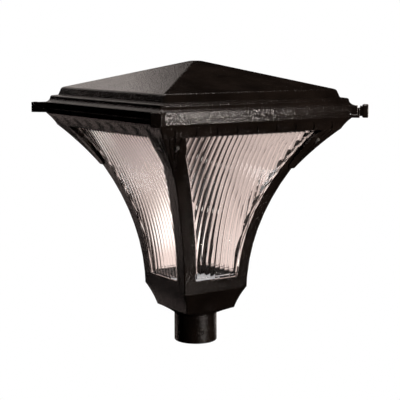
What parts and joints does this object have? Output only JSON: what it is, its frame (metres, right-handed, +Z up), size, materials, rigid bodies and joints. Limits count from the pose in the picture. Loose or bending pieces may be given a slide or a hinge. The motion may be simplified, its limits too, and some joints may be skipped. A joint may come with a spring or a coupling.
{
  "type": "post top lantern",
  "caption": "Square flared lantern for the top of a pole: ribbed clear panels between curved legs, under a low pyramid roof that lifts on a hinge and is held by turn latches.",
  "frame": {"origin": "centre of the fitter's bottom rim, where the pole's axis meets the mouth of the socket", "axes": "+Z up along the pole's axis, -Y towards the side between the two roof latches, +Y towards the hinge"},
  "size_m": [0.5094, 0.5087, 0.5818],
  "materials": {
    "bronze_powder_coat": "fine-textured dark bronze powder coat, satin, on die-cast aluminium",
    "ribbed_clear_sheet": "clear ribbed sheet, smooth inside, rounded ribs outside",
    "stainless_steel": "bare stainless steel, turned and slightly dull",
    "gasket_rubber": "soft black rubber, matt",
    "gear_white": "white gloss paint on sheet metal",
    "zinc_sheet": "zinc-coated sheet steel, mottled grey",
    "sink_aluminium": "plain extruded aluminium",
    "board_white": "white solder resist",
    "emitter_yellow": "yellow phosphor",
    "cover_clear": "clear moulded cover",
    "driver_case": "off-white moulded case",
    "protector_case": "black moulded case",
    "terminal_plastic": "ivory moulded block",
    "cable_jacket": "black sheathed cable",
    "lead_jacket": "grey sheathed lead",
    "earth_brass": "plain brass"
  },
  "bodies": {
    "lantern_body": {"post_fitter": "bronze_powder_coat", "fitter_set_screws": "stainless_steel", "base_pod": "bronze_powder_coat", "pod_screws": "stainless_steel", "bottom_ring": "bronze_powder_coat", "leg_foot_screws": "stainless_steel", "leg_head_screws": "stainless_steel", "cap_screws": "stainless_steel", "top_ring": "bronze_powder_coat", "panel_gaskets": "gasket_rubber", "bar_screws": "stainless_steel", "floor_plate": "zinc_sheet", "floor_screws": "stainless_steel", "pod_terminal_block": "terminal_plastic", "tray_terminal_block": "terminal_plastic", "terminal_screws": "stainless_steel", "riser_cable": "cable_jacket", "riser_clips": "stainless_steel", "cable_grommets": "gasket_rubber", "gear_tray": "gear_white", "tray_screws": "stainless_steel", "heat_sink": "sink_aluminium", "heat_sink_screws": "stainless_steel", "light_board": "board_white", "light_emitters": "emitter_yellow", "light_cover": "cover_clear", "light_cover_screws": "stainless_steel", "driver": "driver_case", "surge_protector": "protector_case", "gear_screws": "stainless_steel", "earth_screw": "earth_brass", "driver_lead": "lead_jacket", "light_lead": "lead_jacket", "roof_gasket": "gasket_rubber", "hinge_pins": "stainless_steel", "leg_front_left": "bronze_powder_coat", "leg_cap_front_left": "bronze_powder_coat", "leg_front_right": "bronze_powder_coat", "leg_cap_front_right": "bronze_powder_coat", "leg_rear_left": "bronze_powder_coat", "leg_cap_rear_left": "bronze_powder_coat", "leg_rear_right": "bronze_powder_coat", "leg_cap_rear_right": "bronze_powder_coat", "panel_front": "ribbed_clear_sheet", "panel_bar_front": "bronze_powder_coat", "panel_right": "ribbed_clear_sheet", "panel_bar_right": "bronze_powder_coat", "panel_rear": "ribbed_clear_sheet", "panel_bar_rear": "bronze_powder_coat", "panel_left": "ribbed_clear_sheet", "panel_bar_left": "bronze_powder_coat"},
    "roof": {"roof_cover": "bronze_powder_coat"},
    "latch_left": {"latch_knob_left": "bronze_powder_coat", "latch_shaft_left": "stainless_steel", "latch_washer_left": "stainless_steel", "latch_clip_left": "stainless_steel"},
    "latch_right": {"latch_knob_right": "bronze_powder_coat", "latch_shaft_right": "stainless_steel", "latch_washer_right": "stainless_steel", "latch_clip_right": "stainless_steel"}
  },
  "joints": [
    {"name": "roof_hinge", "type": "hinge", "parent": "lantern_body", "child": "roof", "pos_m": [0, 0.238, 0.4881], "axis": [-1, 0, 0], "range_deg": [0, 100]},
    {"name": "latch_left_turn", "type": "hinge", "parent": "roof", "child": "latch_left", "pos_m": [-0.23547, -0.23547, 0.4835], "axis": [-0.7071, -0.7071, 0], "range_deg": [0, 90]},
    {"name": "latch_right_turn", "type": "hinge", "parent": "roof", "child": "latch_right", "pos_m": [0.23547, -0.23547, 0.4835], "axis": [0.7071, -0.7071, 0], "range_deg": [0, 90]}
  ]
}
